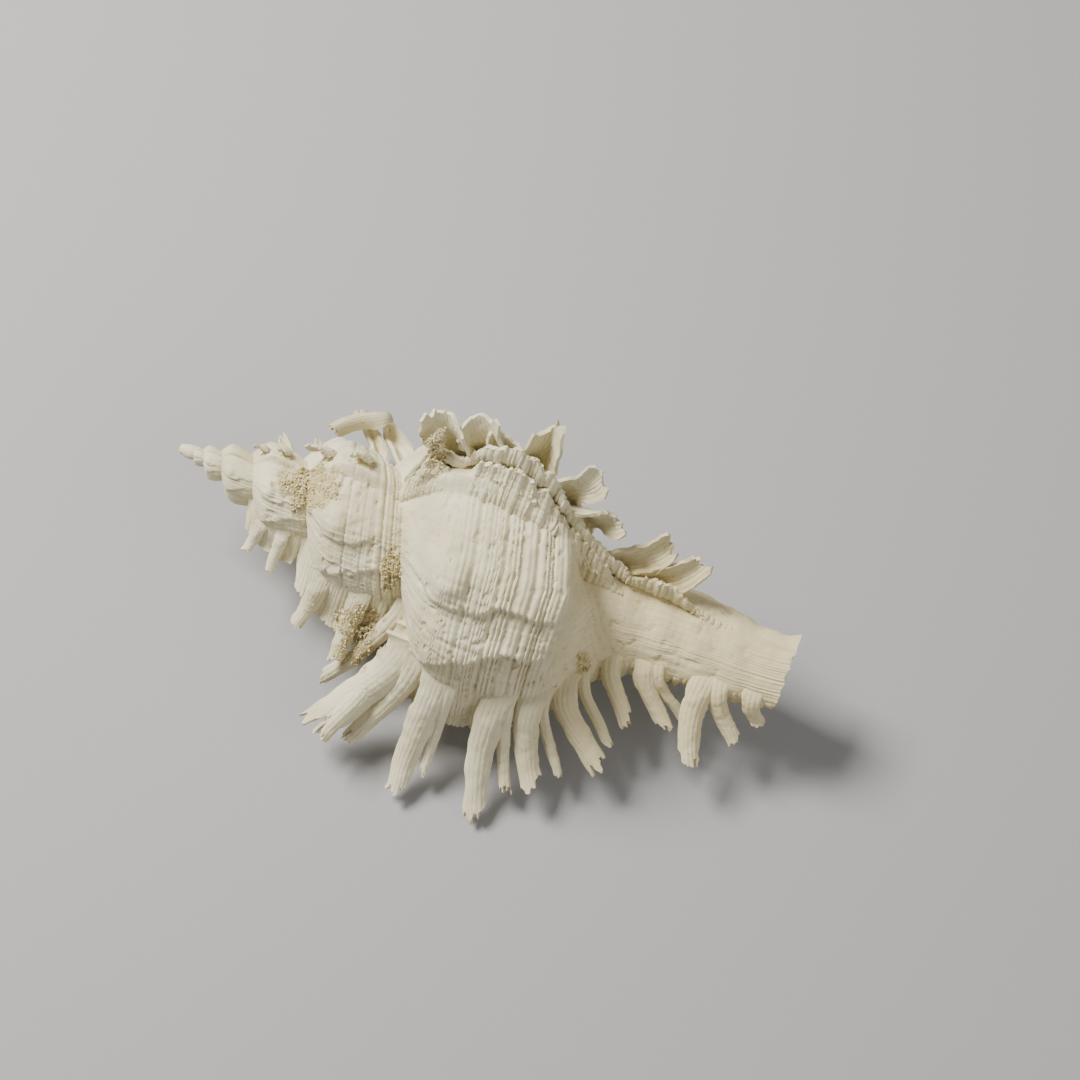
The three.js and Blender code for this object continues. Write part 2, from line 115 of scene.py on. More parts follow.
def softNoise(points, size, seed=0, octaves=1):
    total, weight = 0.0, 1.0
    for n in range(octaves):
        p = points / size * 2 ** n
        cell = np.floor(p).astype(np.int64)
        f = p - cell
        f = f * f * (3 - 2 * f)
        value = 0.0
        for dx in (0, 1):
            for dy in (0, 1):
                for dz in (0, 1):
                    w = (f[..., 0] if dx else 1 - f[..., 0]) * (f[..., 1] if dy else 1 - f[..., 1])
                    w = w * (f[..., 2] if dz else 1 - f[..., 2])
                    value = value + w * lattice(cell + np.array([dx, dy, dz]), seed + n)
        total = total + value * weight
        weight *= 0.5
    return total


# Outline of the whorls and the drop below them, as in the solid
whorlOutline = [
    (0, growth["creaseShare"] / growth["perTurn"]), (0.08, 0.64), (0.2, 0.83), (0.33, 0.95), (0.48, 1),
    (0.65, 0.995), (0.8, 0.965), (0.92, 0.92), (1, growth["creaseShare"]),
]
baseOutline = [
    (0, growth["creaseShare"]), (0.05, 0.8), (0.1, 0.66), (0.15, 0.5), (0.22, 0.36), (0.34, 0.2),
    (0.6, 0.05),
]
# the worn apex, along and out in millimetres
apexOutline = [
    (0, 0), (0.12, 0.32), (0.3, 0.5), (0.7, 0.64), (1.2, 0.8), (1.7, 0.86), (2.4, 0.62), (3, 0.5),
]
apexEnd = 2.4


def creaseAlong(turn):
    last = growth["lastSuture"] * growth["perTurn"]
    coiled = last * growth["perTurn"] ** (-turn / 360)
    return np.where(turn >= 0, coiled, last + (growth["lipCrease"] - last) * turn / growth["lipTurn"])


def coilPlace(along, turn):
    # which whorl a point is on (0 is the body whorl, less is the spire) and its share of the way down it
    coil = np.log(np.maximum(along, 0.01) / growth["lastSuture"]) / math.log(growth["perTurn"]) + turn / 360
    whorl = np.minimum(np.floor(coil), 0)
    top = growth["lastSuture"] * growth["perTurn"] ** (whorl - turn / 360)
    low = np.where(whorl < 0, top * growth["perTurn"], creaseAlong(turn))
    share = np.log(np.maximum(along, 0.01) / top) / np.log(low / top)
    return whorl, share, top, low


def lipEffect(turn, share):
    return np.where(turn < 0, 1 - growth["lipNarrowing"] * share * turn / growth["lipTurn"], 1)


# Heights are shares of the whorl's girth, angles are degrees after the last varix
relief = {
    "varixStart": 93, "varixFoot": 4.5, "varixHeight": 0.15, "nodeHeight": 0.085, "baseRings": 0.13,
    "cordsPerWhorl": 40, "cordsFewer": 0.62, "cordHeight": 0.0065, "baseCordHeight": 0.013,
    "bandGrooves": [0.52, 0.684, 0.777, 0.849, 0.93], "bandDepth": 0.019, "bandWidth": 0.012,
    "nodeAfter": 41, "nodeReach": 11, "nodeShare": 0.37, "nodeShareReach": 0.14, "ribFoot": 4.0,
}
ribs = [
    {
        "start": 20, "height": 0.06,
        "crest": lambda share: 47 + 7 * np.clip(1 - ((share - 0.42) / 0.3) ** 2, 0, 1),
    },
    {"start": 58, "height": 0.048, "crest": lambda share: 84 - 42 * np.clip(share - 0.4, -0.35, 0.4)},
]


def afterVarix(turn):
    # degrees grown since the last varix
    x = growth["varixTurn"] - turn
    return x - growth["varixSpacing"] * (np.ceil(x / growth["varixSpacing"] - 1e-9) - 1)


def ribHeight(turn, share):
    after = afterVarix(turn)
    inside = np.clip(share, 0, 1)
    shoulder = np.sqrt(np.maximum(np.sin(math.pi * inside), 0))
    rise = np.clip((after - relief["varixStart"]) / (growth["varixSpacing"] - relief["varixStart"]), 0, 1) ** 2
    fall = np.clip(1 - after / relief["varixFoot"], 0, 1)
    height = relief["varixHeight"] * np.maximum(rise, fall)
    for rib in ribs:
        crest = rib["crest"](share) + 0.7 * np.sin(share * 23) + 0.5 * np.sin(share * 41 + 2)
        up = np.clip((after - rib["start"]) / (crest - rib["start"]), 0, 1) ** 1.3
        down = 1 - smoothStep(crest, crest + relief["ribFoot"], after)
        height = height + rib["height"] * up * down * np.where(after > rib["start"], 1, 0)
    nearTurn = (after - relief["nodeAfter"]) / relief["nodeReach"]
    nearShare = (share - relief["nodeShare"]) / relief["nodeShareReach"]
    node = np.exp(-((nearTurn ** 2 + nearShare ** 2) ** 2))
    crest = ribs[0]["crest"](share)
    down = 1 - smoothStep(crest, crest + relief["ribFoot"], after)
    return height * shoulder + relief["nodeHeight"] * node * down


def cordHeight(share, turn, whorl):
    # fine spiral cords, coarser and deeper towards the base, with a few grooves between bands of them
    count = np.round(relief["cordsPerWhorl"] * relief["cordsFewer"] ** np.minimum(-whorl, 4))
    phase = count * (share + 0.012 * np.sin(share * 19) + 0.006 * np.sin(share * 47 + 1))
    number = np.floor(phase)
    ridge = 0.5 - 0.5 * np.cos(2 * math.pi * phase)
    each = lattice(np.stack([number, number * 0, number * 0], -1).astype(np.int64), 5)
    coarser = relief["baseCordHeight"] - relief["cordHeight"]
    size = relief["cordHeight"] + coarser * smoothStep(0.45, 0.9, share)
    strong = np.where(each > 0.35, 1.5, 0.75 + 0.35 * each)
    wear = np.where(whorl >= -1, 1, np.where(whorl >= -2, 0.6, 0.25))
    bands = sum(np.exp(-(((share - groove) / relief["bandWidth"]) ** 2)) for groove in relief["bandGrooves"])
    return (size * strong * (ridge - 1) - relief["bandDepth"] * bands * np.where(share < 1, 1, 0)) * wear


canal = {
    # along, half height, half depth, shift upwards and shift towards the camera
    "stations": [
        (24, 3, 3, 0, 0), (36, 4.4, 4.6, 0, 0), (46, 5.6, 5, 0, 0), (52, 6.4, 4.6, 0, 0.2),
        (57, 5.8, 3.7, 0.2, 0.5), (62, 5.4, 3.2, 0.4, 0.9), (67, 5, 2.8, 0.3, 1.4),
        (71.5, 4.4, 2.5, 0.2, 1.9), (73.8, 4.3, 2.5, 0.4, 2.2), (75, 4.6, 2.4, 0.6, 2.4),
    ],
    "start": 26.0, "end": 75.0, "softJoin": 1.2,
    "cords": 0.05, "striae": 0.09, "folds": 0.2, "boreRadius": 1.1, "boreFrom": 44.0, "boreTo": 76.5,
    "slitWidth": 1.0, "slitReach": 9.0, "slitTurn": -150.0,
}


def canalMeasure(along, column):
    rows = [(s[0], s[column]) for s in canal["stations"]]
    return np.where(along < rows[0][0], rows[0][1], easeCurve(rows, along))


def canalRadius(along, turn):
    tall = canalMeasure(along, 1)
    deep = canalMeasure(along, 2)
    t = np.radians(turn)
    r = tall * deep / np.sqrt((deep * np.sin(t)) ** 2 + (tall * np.cos(t)) ** 2)
    # faint cords round the neck, low folds across it, and striae that grow towards the open end
    ring = np.abs(np.sin(math.pi * along / 0.85)) * canal["cords"] * (1 - smoothStep(62, 70, along))
    fan = np.sin(np.radians(turn) * 44 + 1.5 * np.sin(turn * 0.11) + 0.6 * np.sin(along * 0.4))
    fan = fan * (1 + 0.6 * np.sin(turn * 0.23 + 1)) * canal["striae"] * smoothStep(64, 74, along)
    wave = np.sin(along * 1.4 + 1.2 * np.sin(np.radians(turn)))
    folds = canal["folds"] * wave * smoothStep(52, 57, along)
    fan = fan + folds * (1 - smoothStep(70, 74, along))
    return r + ring + fan * 0.5


def bodyPoint(along, turn):
    whorl, share, top, low = coilPlace(along, turn)
    girth = growth["girth"] * top * np.where(whorl == 0, lipEffect(turn, np.clip(share, 0, 1)), 1)
    stretch = np.where(turn < 0, 1 + (growth["baseStretchAtLip"] - 1) * turn / growth["lipTurn"], 1)
    out = girth * easeCurve(whorlOutline, np.clip(share, 0, 1))
    below = (along - low) / (girth * stretch)
    out = np.where((whorl == 0) & (share > 1), girth * easeCurve(baseOutline, below), out)
    onWhorl = np.where(share <= 1, 1, 1 - smoothStep(0, 0.2, below))
    corded = np.where(share <= 1, 1, 1 - smoothStep(0.12, 0.3, below))
    out = out + girth * (ribHeight(turn, share) * onWhorl + cordHeight(share, turn, whorl) * corded)
    out = np.where(along < apexEnd, np.maximum(out, easeCurve(apexOutline, along)), out)
    neck = canalRadius(along, turn)
    # round the corner where the base meets the canal
    soft = canal["softJoin"]
    h = np.clip(0.5 + 0.5 * (out - neck) / soft, 0, 1)
    joined = neck * (1 - h) + out * h + soft * h * (1 - h) * 0.5
    out = np.where(along < canal["start"], out, joined)
    return out, whorl, share, girth


def makePiece(name, points, faces, cutter=False):
    # all that stays is kept inside the solid's box, and the worn tips that touch the floor end flat on it
    mesh = bpy.data.meshes.new(name)
    placed = toFrame(points)
    if not cutter:
        placed = np.clip(placed, np.array(cadBox[0]) + 0.01 * mm, np.array(cadBox[1]) - 0.01 * mm)
    mesh.from_pydata(placed.tolist(), [], faces)
    mesh.validate()
    piece = bpy.data.objects.new(name, mesh)
    bpy.context.scene.collection.objects.link(piece)
    bpy.ops.object.select_all(action="DESELECT")
    bpy.context.view_layer.objects.active = piece
    piece.select_set(True)
    bpy.ops.object.mode_set(mode="EDIT")
    bpy.ops.mesh.select_all(action="SELECT")
    bpy.ops.mesh.normals_make_consistent(inside=False)
    bpy.ops.object.mode_set(mode="OBJECT")
    return piece


def tubeFaces(rowCount, columnCount):
    # quads of a grid that closes on itself, and one fan at each end
    faces = []
    for i in range(rowCount - 1):
        near, far = i * columnCount, (i + 1) * columnCount
        for j in range(columnCount):
            k = (j + 1) % columnCount
            faces.append((near + j, near + k, far + k, far + j))
    start, lastRow = rowCount * columnCount, (rowCount - 1) * columnCount
    for j in range(columnCount):
        k = (j + 1) % columnCount
        faces.append((start, k, j))
        faces.append((start + 1, lastRow + j, lastRow + k))
    return faces


def cutAway(piece, cutter):
    bpy.ops.object.select_all(action="DESELECT")
    bpy.context.view_layer.objects.active = piece
    piece.select_set(True)
    cut = piece.modifiers.new("cut", "BOOLEAN")
    cut.operation = "DIFFERENCE"
    cut.solver = "MANIFOLD"
    cut.object = cutter
    bpy.ops.object.modifier_apply(modifier=cut.name)
    bpy.data.objects.remove(cutter)


# Where sand lies, as ellipses in the picture: middle and half sizes in pixels
patches = [
    (311, 486, 31, 25), (392, 571, 11, 21), (359, 635, 26, 33), (436, 452, 17, 26), (582, 660, 8, 10),
]
patchEdge = {"rough": 0.35, "roughSize": 1.4, "inner": 0.7, "outer": 1.15, "lastTurn": 40}
# the apex's place in the picture, the coiling axis' slope, and millimetres to a pixel
picture = {"apexX": 178, "apexY": 447, "cos": 0.935, "sin": 0.355, "scale": 0.1156}


def sandAmount(points, normals=None):
    s, v = points[:, 0] / picture["scale"], points[:, 1] / picture["scale"]
    x = picture["apexX"] + picture["cos"] * s + picture["sin"] * v
    y = picture["apexY"] + picture["sin"] * s - picture["cos"] * v
    amount = np.zeros(len(points))
    rough = patchEdge["rough"] * softNoise(points, patchEdge["roughSize"], 12, 2)
    for cx, cy, rx, ry in patches:
        away = np.sqrt(((x - cx) / rx) ** 2 + ((y - cy) / ry) ** 2) + rough
        amount = np.maximum(amount, 1 - smoothStep(patchEdge["inner"], patchEdge["outer"], away))
    turn = np.degrees(np.arctan2(points[:, 1], points[:, 2]))
    amount = amount * (points[:, 2] > 0) * (turn < patchEdge["lastTurn"])
    return amount if normals is None else amount * smoothStep(-0.1, 0.3, normals[:, 2])


# The coiled body with its ribs, cords and canal
skin = {
    "wear": 0.10, "canalWear": 0.14, "fineWear": 0.045, "growthLines": 0.07, "pits": 0.22,
    "sandRise": 0.22, "sandRough": 0.16, "ringSpacing": 0.85, "brokenEnd": 0.5,
    # start, end and number of the grid's rows along the axis, and of its columns round it
    "rowBands": [(0.12, 9, 44), (9, 16, 42), (16, 28, 78), (28, 50, 170), (50, 74.9, 94)],
    "columnBands": [(-87, -65, 20), (-65, -10, 73), (-10, 50, 40), (50, 273, 77)],
}


def gridSteps(bands):
    return np.concatenate([np.linspace(*band, endpoint=band is bands[-1]) for band in bands])


def canalShift(along):
    lifted = smoothStep(48, 54, along)
    return np.stack([along * 0, canalMeasure(along, 3) * lifted, canalMeasure(along, 4) * lifted], -1)


rows, columns = gridSteps(skin["rowBands"]), gridSteps(skin["columnBands"])
alongGrid, turnGrid = np.meshgrid(rows, columns, indexing="ij")
outGrid, whorlGrid, shareGrid, girthGrid = bodyPoint(alongGrid, turnGrid)
bodyPoints = place(alongGrid, outGrid, turnGrid) + canalShift(alongGrid)
wear = softNoise(bodyPoints, 2.6, 3, 3) * (skin["wear"] + skin["canalWear"] * smoothStep(50, 56, alongGrid))
wear = wear + softNoise(bodyPoints, 0.7, 9, 2) * skin["fineWear"]
lineKey = np.stack([turnGrid * 0.55, shareGrid * 2, whorlGrid], -1)
lines = softNoise(lineKey, 1.0, 21, 2) * skin["growthLines"]
pits = softNoise(bodyPoints, 1.1, 41, 2)
wear = wear - skin["pits"] * smoothStep(0.42, 0.75, pits) * smoothStep(6, 14, alongGrid)
outGrid = np.maximum(outGrid + (wear + lines) * np.clip(outGrid / 6, 0.1, 1), 0.1)
sandBed = sandAmount(bodyPoints.reshape(-1, 3)).reshape(outGrid.shape)
outGrid = outGrid + sandBed * (skin["sandRise"] + skin["sandRough"] * softNoise(bodyPoints, 0.9, 31, 2))
bodyPoints = place(alongGrid, outGrid, turnGrid) + canalShift(alongGrid)
# cords run on round the steep base, where they stand along the axis
below = (alongGrid - creaseAlong(turnGrid)) / girthGrid
steep = smoothStep(0, 0.05, below) * (1 - smoothStep(0.3, 0.45, below)) * (whorlGrid == 0)
wave = np.cos(2 * math.pi * outGrid / skin["ringSpacing"] + 0.5 * np.sin(turnGrid * 0.1))
bodyPoints[..., 0] += relief["baseRings"] * wave * steep
bodyPoints[-1, :, 0] -= skin["brokenEnd"] * np.abs(softNoise(bodyPoints[-1], 0.8, 4))
# the apex and the middle of the canal's end close the grid
ends = np.array([[0.0, 0, 0], [74.3, 0.6, 2.4]])
bodyPoints = np.concatenate([bodyPoints.reshape(-1, 3), ends])
shellBody = makePiece("shellBody", bodyPoints, tubeFaces(len(rows), len(columns)))
print("body", len(shellBody.data.polygons))


# The mouth, the canal's bore and its slit are cut into the body, each with a closed row of rings
mouth = {
    "along": 41.0, "out": 9.2, "halfAlong": 7.4, "halfOut": 5.6, "startTurn": -118.0, "closeTurn": 39.0,
    "endTurn": 103.0, "teeth": 14, "toothDepth": 0.025, "toothedUntil": -70.0, "innerTeeth": 0.4,
    "sides": 48, "steps": 30,
}
boreSides, boreSteps = 20, 24


def cutRings(name, rings, sides):
    middle = [rings[0].mean(0), rings[-1].mean(0)]
    points = np.concatenate(rings + [np.array(middle)])
    cutAway(shellBody, makePiece(name, points, tubeFaces(len(rings), sides), True))


rings = []
a = np.linspace(0, 2 * math.pi, mouth["sides"], endpoint=False)
for turn in np.linspace(mouth["startTurn"], mouth["endTurn"], mouth["steps"]):
    g = growth["perTurn"] ** (-(turn - growth["lipTurn"]) / 360)
    closed = max((turn - mouth["closeTurn"] - 1) / (mouth["endTurn"] - mouth["closeTurn"]), 0)
    close = math.sqrt(max(1 - closed ** 2, 0))
    toothed = 1 if turn < mouth["toothedUntil"] else mouth["innerTeeth"]
    tooth = 1 + mouth["toothDepth"] * np.sin(a * mouth["teeth"]) * toothed
    along = mouth["along"] * g + mouth["halfAlong"] * g * close * np.cos(a) * tooth
    out = mouth["out"] * g + mouth["halfOut"] * g * close * np.sin(a) * tooth
    rings.append(place(along, out, np.full_like(a, turn)))
cutRings("mouthHollow", rings, mouth["sides"])

stations = np.linspace(canal["boreFrom"], canal["boreTo"], boreSteps)
shifts = [canalShift(np.array([min(s, canal["end"])])) for s in stations]
a = np.linspace(0, 2 * math.pi, boreSides, endpoint=False)
rings = []
for s, shift in zip(stations, shifts):
    rings.append(place(s + a * 0, canal["boreRadius"] + a * 0, np.degrees(a)) + shift)
cutRings("canalBore", rings, boreSides)
side = place(0, canal["slitWidth"] / 2, canal["slitTurn"] + 90)
rings = []
for s, shift in zip(stations, shifts):
    deep = place(s, 0.2, canal["slitTurn"])
    far = place(s, canal["slitReach"], canal["slitTurn"])
    rings.append(np.array([deep - side, far - side, far + side, deep + side]) + shift)
cutRings("canalSlit", rings, 4)
print("hollow cut", len(shellBody.data.polygons))


# Sheets: every frond and every web is a thin sheet with a thickness, closed all round its edge
def sheetMesh(points, towards, thickness):
    du = np.gradient(points, axis=0)
    dv = np.gradient(points, axis=1)
    normal = np.cross(du, dv)
    normal /= np.maximum(np.linalg.norm(normal, axis=-1, keepdims=True), 1e-9)
    normal *= np.sign(np.sum((normal * towards).reshape(-1, 3).sum(0)))
    front = points + normal * thickness[..., None] / 2
    back = points - normal * thickness[..., None] / 2
    nu, nv = points.shape[:2]
    count = nu * nv
    faces = []
    for i in range(nu - 1):
        for j in range(nv - 1):
            q = (i * nv + j, (i + 1) * nv + j, (i + 1) * nv + j + 1, i * nv + j + 1)
            faces.append(q)
            faces.append(tuple(count + n for n in reversed(q)))
    rim = [(i, 0) for i in range(nu)] + [(nu - 1, j) for j in range(1, nv)]
    rim += [(i, nv - 1) for i in range(nu - 2, -1, -1)] + [(0, j) for j in range(nv - 2, 0, -1)]
    for (i, j), (m, n) in zip(rim, rim[1:] + rim[:1]):
        faces.append((m * nv + n, i * nv + j, count + i * nv + j, count + m * nv + n))
    return np.concatenate([front.reshape(-1, 3), back.reshape(-1, 3)]), faces


frondLook = {
    "across": 29, "lengthwise": 44, "thickness": 0.75, "cord": 0.045, "step": 0.04, "setBack": 0.37,
    "footTurn": 28, "riseTurn": 12, "footSink": 1.1, "riseLift": 1.3, "cordsPerWidth": 2.1, "sway": 0.25,
    "brokenTip": 0.08, "brokenEdge": 0.16, "upperStout": 1.35,
}


def surfaceAt(along, turn, sink):
    # a point below the body's skin by the given depth
    wrapped = np.mod(turn + 87, 360) - 87
    out = bodyPoint(np.asarray(along, float), np.asarray(wrapped, float))[0]
    return place(along, out - sink, wrapped) + canalShift(np.asarray(along, float))


def bezier(a, b, c, d, t):
    t = t[..., None]
    point = a * (1 - t) ** 3 + b * 3 * t * (1 - t) ** 2 + c * 3 * t * t * (1 - t) + d * t ** 3
    slope = (b - a) * (1 - t) ** 2 + (c - b) * 2 * t * (1 - t) + (d - c) * t * t
    return point, slope


def ribbon(path, width, end, fold, scale, seed, stout):
    # a ridged, folded sheet along the curve through the four corners of its path, with a broken tip
    foot, rise, middle, finish = path
    u = np.linspace(-1, 1, frondLook["across"])[:, None]
    v = np.linspace(0, 1, frondLook["lengthwise"])[None, :]
    key = np.stack(np.broadcast_arrays(u * 1.1, v * 0, u * 0 + seed * 3.1), -1)
    slant = 0.03 * (1 + u * (-1) ** seed)
    tipCut = frondLook["brokenTip"] * np.abs(softNoise(key, 0.6, seed, 2)) + 0.03 * u ** 2 + slant
    t = v * (1 - tipCut)
    point, forward = bezier(foot, rise, middle, finish, t)
    forward /= np.linalg.norm(forward, axis=-1, keepdims=True)
    axis = np.array([1.0, 0, 0])
    sideways = axis - forward * forward[..., :1]
    sideways /= np.linalg.norm(sideways, axis=-1, keepdims=True)
    backward = np.cross(forward, sideways)
    edge = np.stack(np.broadcast_arrays(np.sign(u) * 3 + seed, t * 9, u * 0), -1)
    jag = 1 + frondLook["brokenEdge"] * softNoise(edge, 0.9, seed + 2, 2) * u ** 4
    wide = width * scale * stout / 2 * (1 + (end - 1) * t ** 1.5) * (1 + 0.3 * (1 - t) ** 3) * jag
    depth = width * scale * fold * smoothStep(0.02, 0.4, t) * (1 - 0.25 * t)
    cordCount = max(3, round(width * frondLook["cordsPerWidth"]))
    cords = frondLook["cord"] * scale ** 0.5 * np.cos(u * math.pi * cordCount + seed)
    ring = np.abs(np.mod(t * (9 + seed % 3) + 0.6 * u ** 2, 1)) * frondLook["step"]
    lift = depth * (1 - u ** 2) + (frondLook["setBack"] + cords + ring) * smoothStep(0, 0.25, t)
    points = point + sideways * (u * wide)[..., None] + backward * lift[..., None]
    points = points + softNoise(points, 0.9, seed, 2)[..., None] * backward * 0.08
    sway = softNoise(points, 4.0, seed + 3) * frondLook["sway"] * scale * smoothStep(0.35, 0.8, t)
    points = points + sway[..., None] * (sideways + 0.6 * backward)
    thin = frondLook["thickness"] * scale ** 0.5 * (1 - 0.4 * u ** 4) * (1 - 0.35 * t ** 3)
    return sheetMesh(points, backward, thin)


def frond(spec, turn, scale, seed, stout=1.0):
    # it rises from the skin behind the varix, runs along it and bends outwards
    root, tip, width, end, fold, lean, bow = spec
    foot = surfaceAt(root[0] * scale, turn + frondLook["footTurn"], frondLook["footSink"] * scale)
    rise = surfaceAt(root[0] * scale, turn + frondLook["riseTurn"], -frondLook["riseLift"] * scale)
    finish = place(tip[0] * scale, tip[1] * scale, turn + lean)
    bendAlong = (root[0] * 0.62 + tip[0] * 0.38 + bow * 1.5) * scale
    bendOut = (root[1] * 0.62 + tip[1] * 0.38) * scale
    middle = place(bendAlong, bendOut, turn + lean * 0.35)
    return ribbon((foot, rise, middle, finish), width, end, fold, scale, seed, stout)


webLook = {
    "across": 370, "lengthwise": 26, "thickness": 0.9, "setBack": 0.13, "serration": 0.6,
    "footTurn": 27, "riseTurn": 12, "sink": 0.7, "lift": 0.5,
    "frontFoot": -6, "frontRise": -3, "frontSerration": 1.02,
}


def web(outline, turn, scale, lean, seed, shrink=1.0, front=False):
    first, last = outline[0][0], outline[-1][0]
    along = np.linspace(first, last, webLook["across"])[:, None]
    w = np.linspace(0, 1, webLook["lengthwise"])[None, :]
    key = np.stack(np.broadcast_arrays(along, along * 0 + seed, along * 0), -1)
    teeth = np.abs(softNoise(key, 1.1, seed, 2)) + 0.4 * np.abs(softNoise(key, 0.35, seed + 5))
    serration = webLook["frontSerration" if front else "serration"]
    outer = np.interp(along, *np.array(outline).T) * shrink - serration * teeth
    at = along[:, 0] * scale
    footTurn = webLook["frontFoot" if front else "footTurn"]
    riseTurn = webLook["frontRise" if front else "riseTurn"]
    foot = surfaceAt(at, turn + footTurn + at * 0, webLook["sink"] * scale)[:, None]
    rise = surfaceAt(at, turn + riseTurn + at * 0, -webLook["lift"] * scale)[:, None]
    finish = place(at, outer[:, 0] * scale, turn + lean)[:, None]
    middle = place(at, outer[:, 0] * scale * 0.86, turn + lean * 0.6)[:, None]
    points, forward = bezier(foot, rise, middle, finish, w + along * 0)
    axis = np.array([1.0, 0, 0])
    back = np.cross(forward, axis)
    back /= np.maximum(np.linalg.norm(back, axis=-1, keepdims=True), 1e-6)
    wrapped = np.mod(turn + 87, 360) - 87 + at * 0
    whorl, share, top, low = coilPlace(at, wrapped)
    spiralCords = growth["girth"] * top * cordHeight(share, wrapped, whorl) / scale
    cords = spiralCords[:, None] * smoothStep(0, 0.1, w)
    ripple = 0.16 * np.sin(along * 1.9 + seed) * w ** 2 + 0.09 * np.mod(w * 7 + 0.3 * np.sin(along), 1)
    points = points + back * ((ripple + cords + webLook["setBack"]) * scale)[..., None]
    fadeIn = 0.3 + 0.7 * smoothStep(0, 0.4, w)
    thin = webLook["thickness"] * scale ** 0.5 * (1 - 0.45 * w) * fadeIn + along * 0
    return sheetMesh(points, back, thin)


def joinSheets(name, sheets):
    points, faces, first = [], [], 0
    for p, f in sheets:
        points.append(p)
        faces += [tuple(n + first for n in face) for face in f]
        first += len(p)
    return makePiece(name, np.concatenate(points), faces)


# root, tip, width, end, fold, lean and bow of each frond, from the spire to the canal
lipFronds = [
    ((33.5, 13.5), (25.1, 25.8), 4.5, 0.75, 0.35, 0, 0), ((32.5, 12.5), (27.2, 26.4), 2.4, 0.7, 0.3, 6, 0),
    ((35, 14), (29.8, 25.6), 2.4, 0.7, 0.3, -4, 0), ((31, 11), (24.3, 19.8), 1.8, 0.7, 0.3, -10, 0),
    ((37.6, 15), (37.4, 29.5), 3.1, 0.72, 0.3, -3, -0.2), ((39.2, 15), (39.8, 26.1), 1.5, 0.6, 0.2, -2, 0),
    ((44.8, 15), (48, 29), 3, 0.9, 0.3, -3, -1.2), ((46, 15), (49.9, 24.7), 1.4, 0.7, 0.3, -2, 0),
    ((48.4, 12.5), (52.8, 23.4), 2.8, 0.85, 0.3, 0, -0.8), ((49.6, 12), (54.9, 20.4), 1.3, 0.7, 0.3, -2, 0),
    ((51.2, 8.5), (59.7, 18.3), 2.7, 0.85, 0.3, 0, -1), ((52.6, 7.5), (59.2, 15.1), 1.3, 0.7, 0.3, -2, 0),
    ((55.3, 4.5), (60.5, 12.1), 2, 0.8, 0.3, 0, -0.4), ((59.2, 4), (64.8, 11), 2.2, 0.6, 0.3, 0, -0.5),
    ((60.6, 3.6), (65.8, 8.8), 1.4, 0.8, 0.3, -8, 0), ((66.4, 3.6), (68.7, 14.1), 2.8, 0.8, 0.25, 0, -1.4),
    ((67.8, 3.6), (72.4, 9.6), 2, 0.7, 0.3, -4, 0), ((72, 3.2), (74.6, 6.4), 2, 0.7, 0.2, 0, 0),
]
upperFronds = [
    ((30.5, 10.5), (27.3, 21.5), 4.4, 0.75, 0.55, 6, 0.5), ((34.4, 13), (31.4, 22.4), 4.6, 0.8, 0.5, 8, 0.5),
    ((36.6, 13.5), (34.8, 21.2), 3.4, 0.8, 0.4, 10, 0), ((38.4, 13.5), (39.9, 24.2), 4.2, 0.5, 0.6, 14, 0.9),
    ((42.2, 12.5), (47, 19.8), 4.2, 0.55, 0.3, 14, 0.8), ((45, 10.5), (50.8, 15), 3.8, 0.7, 0.3, 8, 0.7),
    ((51, 4.4), (57.5, 13.6), 3.8, 0.6, 0.3, 16, 0.9), ((55.8, 3.8), (61.4, 12.6), 3.4, 0.6, 0.3, 16, 0.8),
]
# outer edges of the webs: along and out
lipWeb = [
    (30.6, 8.5), (32.2, 15.6), (34.3, 17.9), (36.8, 18.8), (42, 18.8), (44.5, 18.4), (47.9, 16.3),
    (51.5, 12.5), (54.4, 8.4), (57.7, 6.3), (64.1, 5.3), (70.7, 4.9), (73.6, 4.2),
]
upperWeb = [
    (26.3, 9.5), (28, 17), (31.8, 16), (33.6, 20), (37.6, 21), (41.8, 19), (45.2, 14.4), (50.9, 9.5),
    (54.2, 7.6), (58.5, 8.6), (63, 5.6), (64.6, 4.2), (67, 2.6),
]
# the jagged flanks in front of the upper row stop before the canal
frontFlanks = [(0.9, 4, 3), (0.82, 1, 8), (0.75, -1.5, 11)]  # shrink, lean and seed of each
frontWeb = [point for point in upperWeb if point[0] < 50] + [(50.9, 9.5), (53, 6.5), (55, 4)]
spireWeb = [(29, 8), (31.5, 18), (38, 22), (45, 24), (50, 24), (53, 14)]
spireLook = {"width": 3.4, "end": 0.75, "fold": 0.3, "stout": 1.1, "wornStout": 1.3, "wornShare": 0.5}
# roots and tips of the two spines of a row on the spire, their lean, and whether a web joins them
spireRows = [
    ([(36.5, 14.5), (44.5, 15)], [(34, 26), (44, 30.2)], 0, True),
    ([(34.5, 12.5), (43, 15)], [(26, 25.4), (39.3, 29.9)], 3, False),
    ([(34, 12), (41, 15)], [(24, 23.5), (35, 27.5)], -14, False),
]

